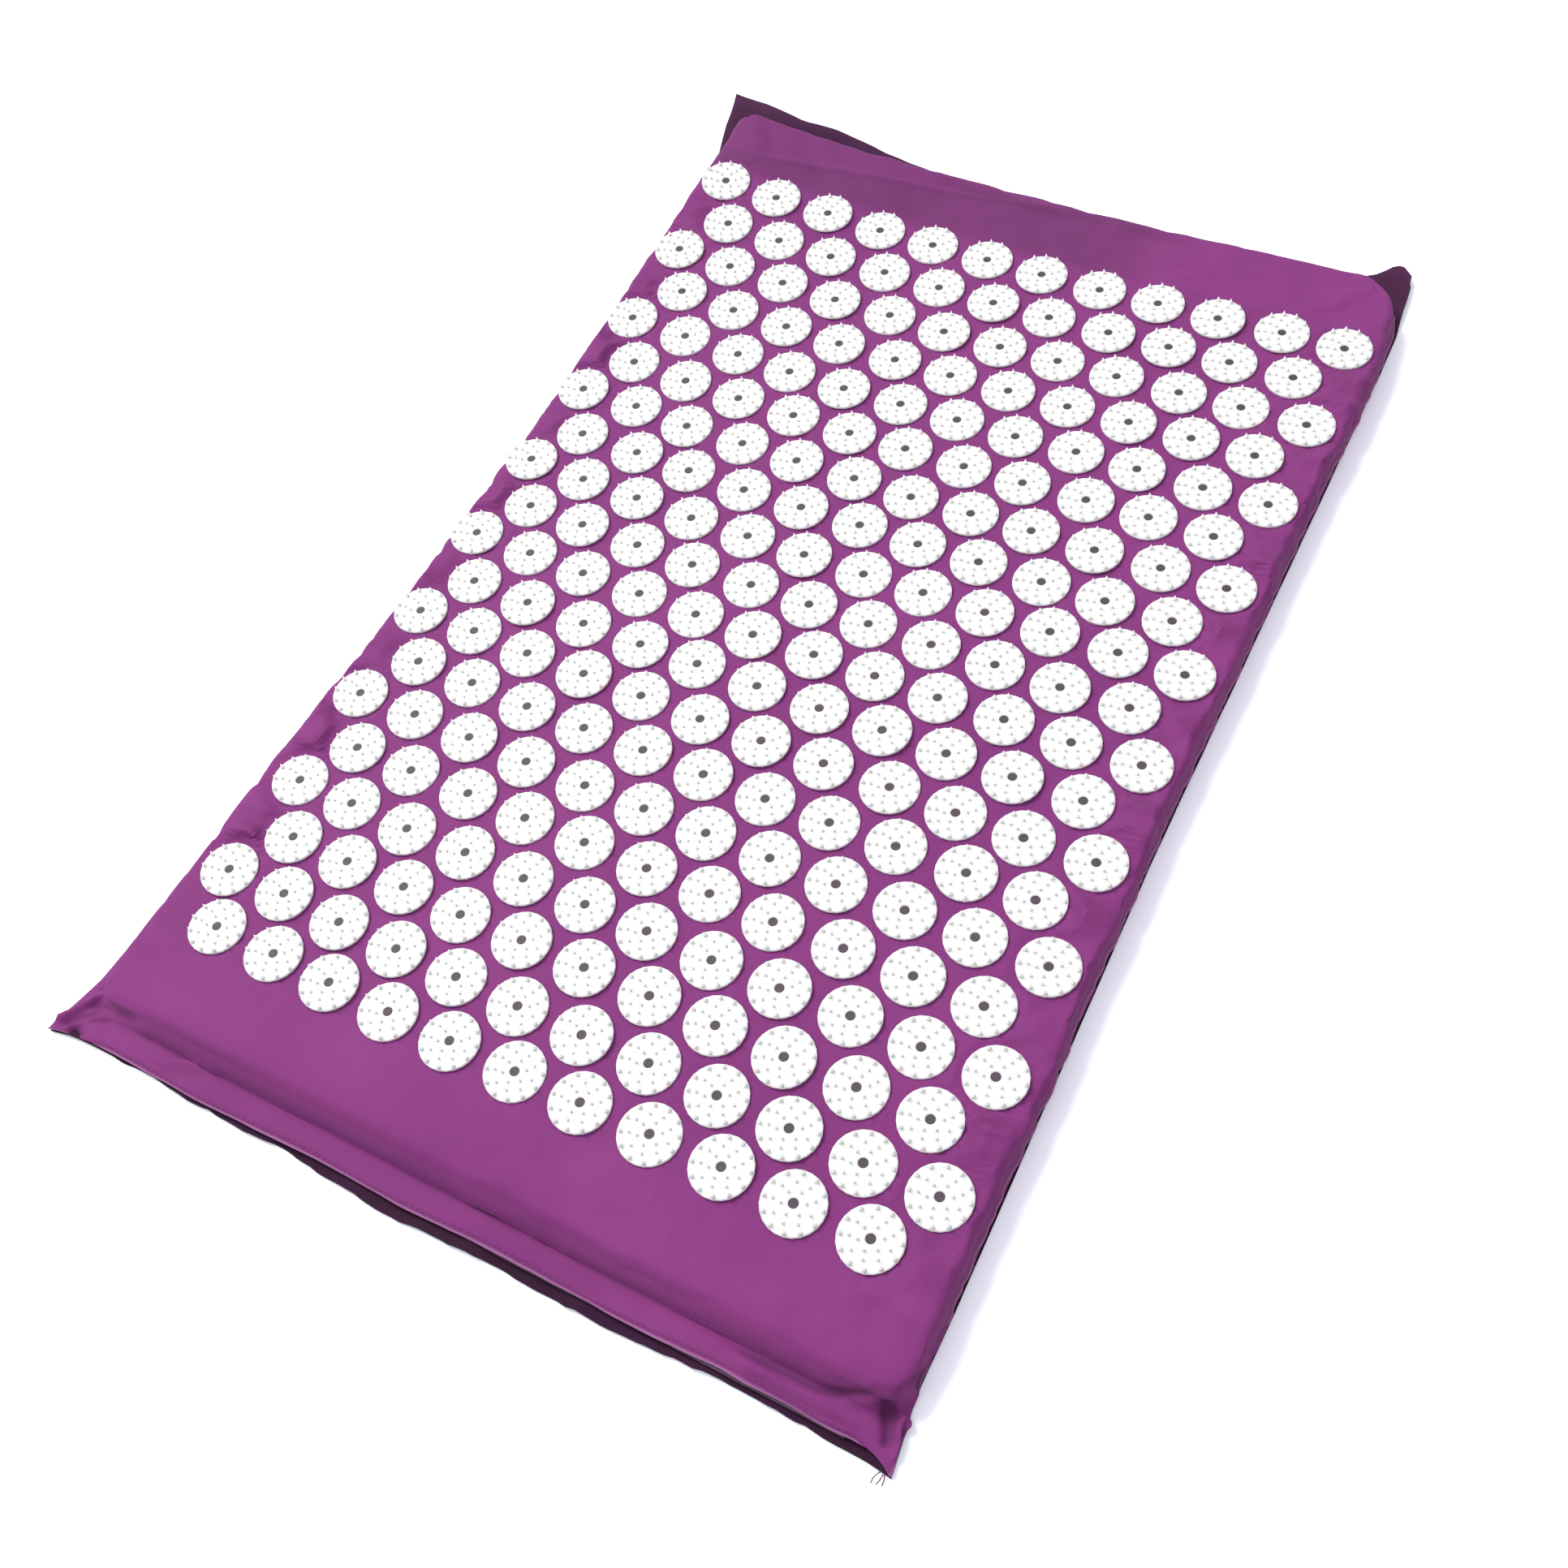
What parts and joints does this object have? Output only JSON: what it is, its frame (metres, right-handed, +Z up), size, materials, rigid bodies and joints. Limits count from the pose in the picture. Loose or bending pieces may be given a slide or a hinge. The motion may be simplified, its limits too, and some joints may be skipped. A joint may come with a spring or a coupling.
{
  "type": "acupressure mat",
  "caption": "Acupressure mat: a foam pad in a purple cotton cover with 230 white spiked discs in 20 staggered rows and a hook and loop mouth at one end",
  "frame": {"origin": "On the surface the mat lies on, under the middle of its bounding box", "axes": "+Z up; +Y along the mat towards its far end, away from the mouth of the cover; +X across it"},
  "size_m": [0.4388, 0.6716, 0.0371],
  "materials": {
    "top_cotton": "plain woven",
    "underside_cotton": "plain woven",
    "foam": "open cell foam",
    "tape": "hook and loop pile",
    "thread": "sewing thread",
    "disc_plastic": "satin"
  },
  "bodies": {
    "mat": {"foam_pad": "foam", "cover_bottom_panel": "underside_cotton", "cover_top_panel": "top_cotton", "hook_tape": "tape", "hook_tape_stitching": "thread", "left_seam_thread": "thread", "right_seam_thread": "thread", "far_seam_thread": "thread", "left_mouth_tack": "thread", "right_mouth_tack": "thread", "disc_row_01": "disc_plastic", "disc_row_02": "disc_plastic", "disc_row_03": "disc_plastic", "disc_row_04": "disc_plastic", "disc_row_05": "disc_plastic", "disc_row_06": "disc_plastic", "disc_row_07": "disc_plastic", "disc_row_08": "disc_plastic", "disc_row_09": "disc_plastic", "disc_row_10": "disc_plastic", "disc_row_11": "disc_plastic", "disc_row_12": "disc_plastic", "disc_row_13": "disc_plastic", "disc_row_14": "disc_plastic", "disc_row_15": "disc_plastic", "disc_row_16": "disc_plastic", "disc_row_17": "disc_plastic", "disc_row_18": "disc_plastic", "disc_row_19": "disc_plastic", "disc_row_20": "disc_plastic"},
    "mouth_flap": {"upper_lip": "top_cotton", "loop_tape": "tape", "loop_tape_stitching": "thread"}
  },
  "joints": [
    {"name": "mouth_flap_hinge", "type": "hinge", "parent": "mat", "child": "mouth_flap", "pos_m": [0.00675, -0.3183, 0.005], "axis": [-1, 0, 0], "range_deg": [0, 80]}
  ]
}
